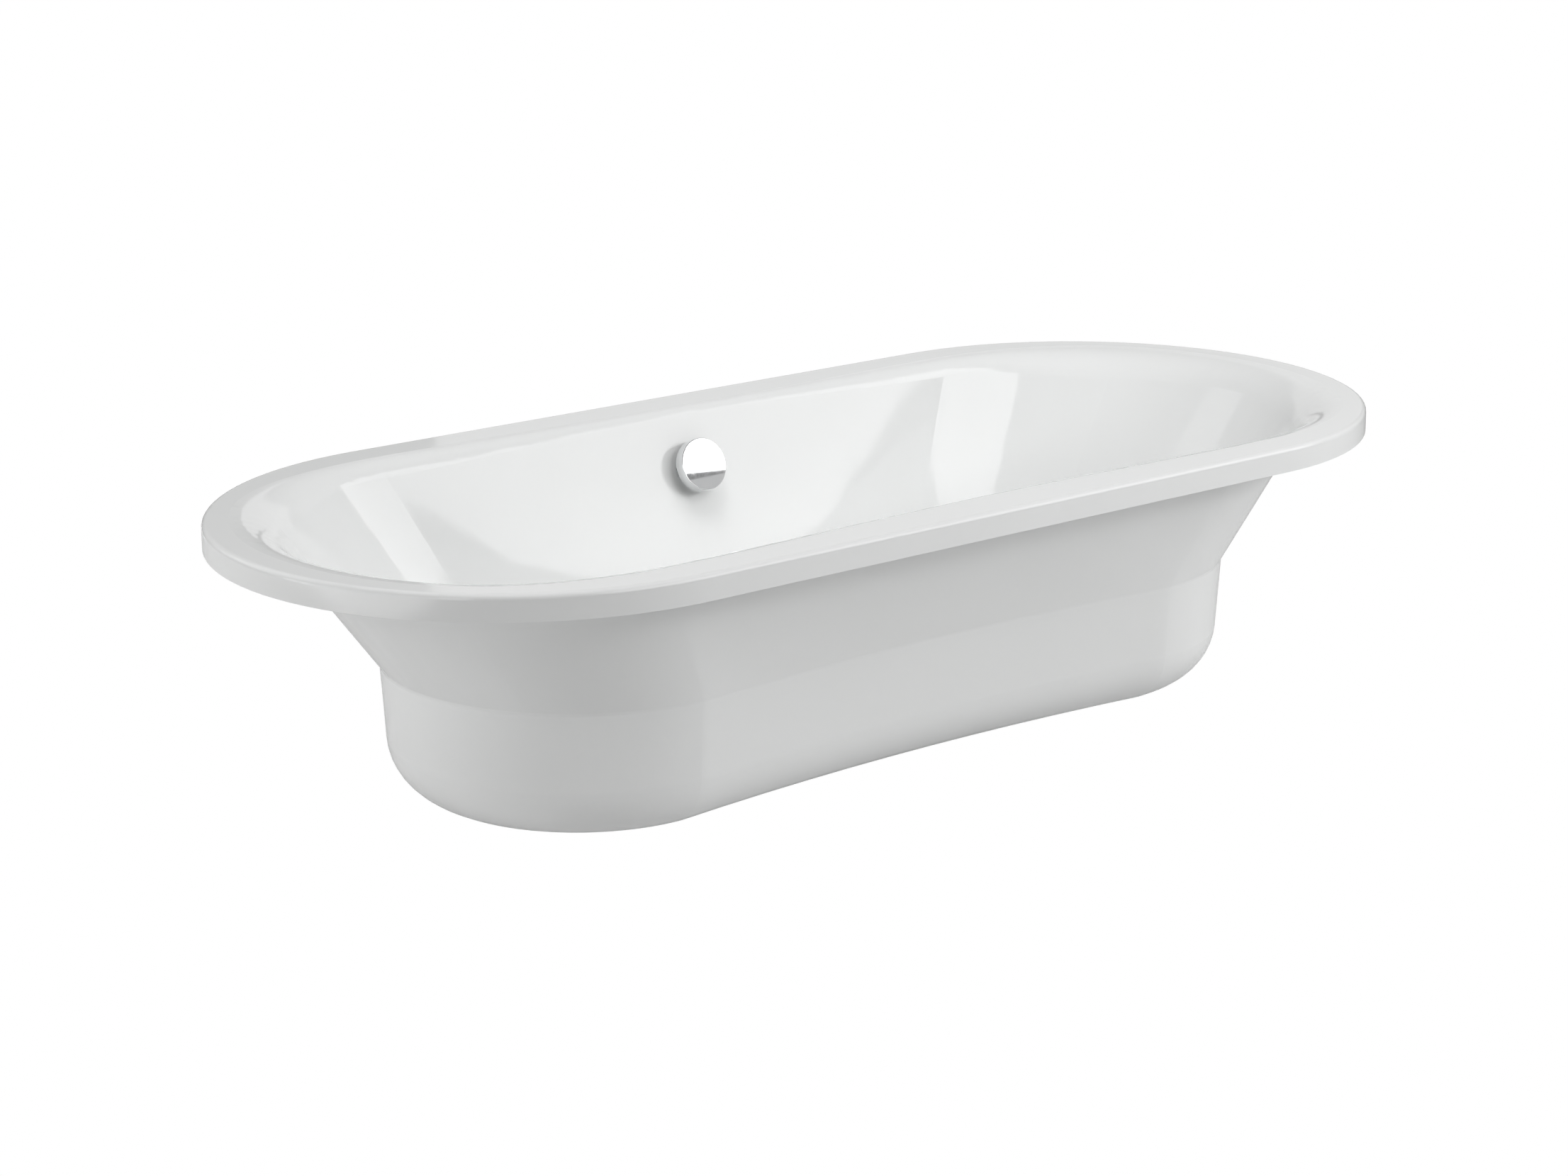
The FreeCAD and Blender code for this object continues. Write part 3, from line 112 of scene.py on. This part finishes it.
class Nodes:
    """A material of one Principled shader, whose inputs are given or follow noises."""

    def __init__(self, name, **settings):
        self.material = bpy.data.materials.new(name)
        self.material.use_nodes = True
        self.tree = self.material.node_tree
        self.shader = self.tree.nodes["Principled BSDF"]
        for socket, value in settings.items():
            self.shader.inputs[socket.replace("_", " ")].default_value = value
        self.place = self.add("ShaderNodeTexCoord").outputs["Object"]

    def add(self, kind, **inputs):
        """A new node, with values for its inputs."""
        node = self.tree.nodes.new(kind)
        for socket, value in inputs.items():
            node.inputs[socket.replace("_", " ")].default_value = value
        return node

    def join(self, output, socket):
        """Lead a node's output to another's input."""
        self.tree.links.new(output, socket)

    def noise(self, scale, detail=2.0, roughness=0.5, stretch=None):
        """A noise over the object's own coordinates, which stretch scales along X, Y and Z."""
        node = self.add("ShaderNodeTexNoise", Scale=scale, Detail=detail, Roughness=roughness)
        place = self.place
        if stretch:
            mapping = self.add("ShaderNodeMapping", Scale=stretch)
            self.join(place, mapping.inputs["Vector"])
            place = mapping.outputs["Vector"]
        self.join(place, node.inputs["Vector"])
        return node.outputs["Fac"]

    def colour(self, factor, low, high):
        """The surface's colour, from low to high as the factor rises."""
        ramp = self.add("ShaderNodeValToRGB")
        stops = zip(ramp.color_ramp.elements, (NOISE_LOW, NOISE_HIGH), (low, high))
        for stop, position, colour in stops:
            stop.position = position
            stop.color = (*colour, 1)
        self.join(factor, ramp.inputs["Fac"])
        self.join(ramp.outputs["Color"], self.shader.inputs["Base Color"])

    def roughness(self, factor, low, high):
        """The surface's roughness, from low to high as the factor rises."""
        span = self.add(
            "ShaderNodeMapRange", From_Min=NOISE_LOW, From_Max=NOISE_HIGH, To_Min=low, To_Max=high
        )
        self.join(factor, span.inputs["Value"])
        self.join(span.outputs["Result"], self.shader.inputs["Roughness"])

    def bump(self, height, distance, strength):
        """Fine relief, too small for the mesh."""
        node = self.add("ShaderNodeBump", Strength=strength, Distance=distance)
        self.join(height, node.inputs["Height"])
        self.join(node.outputs["Normal"], self.shader.inputs["Normal"])


def enamel():
    """Fired white enamel: glassy, with the faint waviness of a dipped coat."""
    nodes = Nodes("enamel", IOR=1.52)
    nodes.colour(nodes.noise(2.5, detail=3), (0.885, 0.893, 0.889), (0.905, 0.913, 0.909))
    nodes.roughness(nodes.noise(14), 0.05, 0.085)
    nodes.bump(nodes.noise(55, roughness=0.4), distance=0.00006, strength=0.35)
    return nodes.material


def bitumen():
    """Pressed bitumen felt, matt and grainy."""
    nodes = Nodes("bitumen", IOR=1.45)
    grain = nodes.noise(420, detail=4, roughness=0.7)
    nodes.colour(grain, (0.018, 0.018, 0.02), (0.055, 0.054, 0.052))
    nodes.roughness(nodes.noise(60, detail=3), 0.75, 0.92)
    nodes.bump(nodes.noise(700, detail=4, roughness=0.65), distance=0.0005, strength=0.6)
    return nodes.material


def bare_steel():
    """Rolled and cut steel, with fine lines of the rolling."""
    nodes = Nodes("bare_steel", Metallic=1.0)
    lines = nodes.noise(900, roughness=0.6, stretch=(1, 0.06, 1))
    nodes.colour(nodes.noise(120, detail=3), (0.42, 0.43, 0.44), (0.58, 0.58, 0.58))
    nodes.roughness(lines, 0.28, 0.45)
    nodes.bump(lines, distance=0.00003, strength=0.4)
    return nodes.material


def chrome():
    """Bright chrome plate, with barely visible polishing haze."""
    nodes = Nodes("chrome", Metallic=1.0)
    nodes.colour(nodes.noise(30), (0.86, 0.87, 0.88), (0.9, 0.905, 0.91))
    nodes.roughness(nodes.noise(260, detail=3, roughness=0.6), 0.01, 0.025)
    nodes.bump(nodes.noise(900, detail=1), distance=0.000001, strength=0.1)
    return nodes.material


def brass():
    """Turned brass, slightly toned."""
    nodes = Nodes("brass", Metallic=1.0)
    nodes.colour(nodes.noise(90, detail=3), (0.55, 0.39, 0.15), (0.7, 0.52, 0.23))
    nodes.roughness(nodes.noise(500), 0.22, 0.36)
    nodes.bump(nodes.noise(1400, detail=1), distance=0.00001, strength=0.3)
    return nodes.material


def fittings():
    """Injection-moulded white polypropylene with a spark-eroded grain."""
    nodes = Nodes("fittings", IOR=1.49, Subsurface_Weight=0.06, Subsurface_Scale=0.002)
    nodes.colour(nodes.noise(18, detail=3), (0.8, 0.8, 0.79), (0.85, 0.85, 0.845))
    nodes.roughness(nodes.noise(200), 0.38, 0.5)
    nodes.bump(nodes.noise(2600), distance=0.00004, strength=0.35)
    return nodes.material


def pipe():
    """Extruded plastic pipe, with faint lines of the extrusion."""
    nodes = Nodes("pipe", IOR=1.5)
    nodes.colour(nodes.noise(12, detail=3), (0.77, 0.77, 0.76), (0.815, 0.815, 0.81))
    nodes.roughness(nodes.noise(90), 0.26, 0.36)
    nodes.bump(nodes.noise(900, stretch=(1, 0.15, 0.15)), distance=0.00002, strength=0.4)
    return nodes.material


def drum():
    """Black moulded acetal."""
    nodes = Nodes("drum", IOR=1.48)
    nodes.colour(nodes.noise(60), (0.012, 0.012, 0.013), (0.02, 0.02, 0.021))
    nodes.roughness(nodes.noise(300), 0.35, 0.5)
    nodes.bump(nodes.noise(2500, detail=1), distance=0.00002, strength=0.3)
    return nodes.material


def seal():
    """Moulded black rubber, dusty matt."""
    nodes = Nodes("seal", IOR=1.5)
    dust = nodes.noise(160, detail=4, roughness=0.6)
    nodes.colour(dust, (0.016, 0.016, 0.016), (0.034, 0.034, 0.033))
    nodes.roughness(nodes.noise(220, detail=3), 0.55, 0.72)
    nodes.bump(nodes.noise(1800, detail=3), distance=0.00006, strength=0.4)
    return nodes.material


def sheath():
    """Black plastic over the cable's wound wire, slightly uneven."""
    nodes = Nodes("sheath", IOR=1.5)
    nodes.colour(nodes.noise(70), (0.009, 0.009, 0.01), (0.018, 0.018, 0.019))
    nodes.roughness(nodes.noise(250), 0.3, 0.42)
    nodes.bump(nodes.noise(1100), distance=0.00008, strength=0.35)
    return nodes.material


# The record's material slots
FINISHES = {
    "enamel": enamel,
    "bitumen": bitumen,
    "bare_steel": bare_steel,
    "chrome": chrome,
    "brass": brass,
    "fittings": fittings,
    "pipe": pipe,
    "drum": drum,
    "seal": seal,
    "sheath": sheath,
}


def dress():
    """Give every CAD node the material of its slot."""
    materials = {slot: make() for slot, make in FINISHES.items()}
    for entry in frame["record"]["subparts"]:
        node = frame["nodes"][entry["node"]]
        node.data.materials.clear()
        node.data.materials.append(materials[entry["material_slot"]])


def floor():
    """A white sheet where it is seen directly, and plain pale card in the light on the bath."""
    material = bpy.data.materials.new("studio_floor")
    material.use_nodes = True
    tree = material.node_tree
    shader = tree.nodes["Principled BSDF"]
    shader.inputs["Base Color"].default_value = grey(FLOOR_GREY)
    shader.inputs["Roughness"].default_value = 1.0
    white = tree.nodes.new("ShaderNodeEmission")
    ray = tree.nodes.new("ShaderNodeLightPath")
    either = tree.nodes.new("ShaderNodeMixShader")
    tree.links.new(ray.outputs["Is Camera Ray"], either.inputs["Fac"])
    tree.links.new(shader.outputs["BSDF"], either.inputs[1])
    tree.links.new(white.outputs["Emission"], either.inputs[2])
    tree.links.new(either.outputs["Shader"], tree.nodes["Material Output"].inputs["Surface"])
    bpy.ops.mesh.primitive_plane_add(size=FLOOR_SIDE, location=(0, 0, FLOOR_LEVEL))
    plane = bpy.context.object
    plane.name = "studio_floor"
    plane.data.materials.append(material)


def surround():
    """A dim white world, seen in reflections only."""
    world = bpy.data.worlds.new("studio")
    bpy.context.scene.world = world
    world.use_nodes = True
    background = world.node_tree.nodes["Background"]
    background.inputs["Color"].default_value = grey(1)
    background.inputs["Strength"].default_value = SURROUND_STRENGTH
    world.cycles_visibility.diffuse = False


def lamp(name, azimuth, elevation, distance, width, height, kind, watts):
    """One of the studio's lights."""
    light = bpy.data.lights.new(name, "AREA")
    light.shape = "RECTANGLE"
    light.size = width
    light.size_y = height
    light.energy = watts
    away = outward(azimuth, elevation)
    seat = bpy.data.objects.new(name, light)
    seat.location = away * distance
    seat.rotation_mode = "QUATERNION"
    seat.rotation_quaternion = (-away).to_track_quat("-Z", "Y")
    seat.visible_camera = False
    seat.visible_glossy = kind != "diffuse"
    seat.visible_diffuse = kind != "glossy"
    bpy.context.scene.collection.objects.link(seat)


def card():
    """The grey card, which is seen in reflections only."""
    mesh = bpy.data.meshes.new("grey_card")
    mesh.from_pydata(CARD_CORNERS, [], CARD_FACES)
    for index, (face, level) in enumerate(zip(mesh.polygons, CARD_GREYS)):
        material = bpy.data.materials.new("grey_card")
        material.use_nodes = True
        tree = material.node_tree
        glow = tree.nodes.new("ShaderNodeEmission")
        glow.inputs["Color"].default_value = grey(level)
        tree.links.new(glow.outputs["Emission"], tree.nodes["Material Output"].inputs["Surface"])
        mesh.materials.append(material)
        face.material_index = index
    piece = bpy.data.objects.new("grey_card", mesh)
    piece.visible_camera = False
    piece.visible_diffuse = False
    piece.visible_shadow = False
    bpy.context.scene.collection.objects.link(piece)


camera()
dress()
floor()
surround()
for name, values in LIGHTS.items():
    lamp(name, *values)
card()
bpy.context.scene.view_settings.view_transform = "Standard"
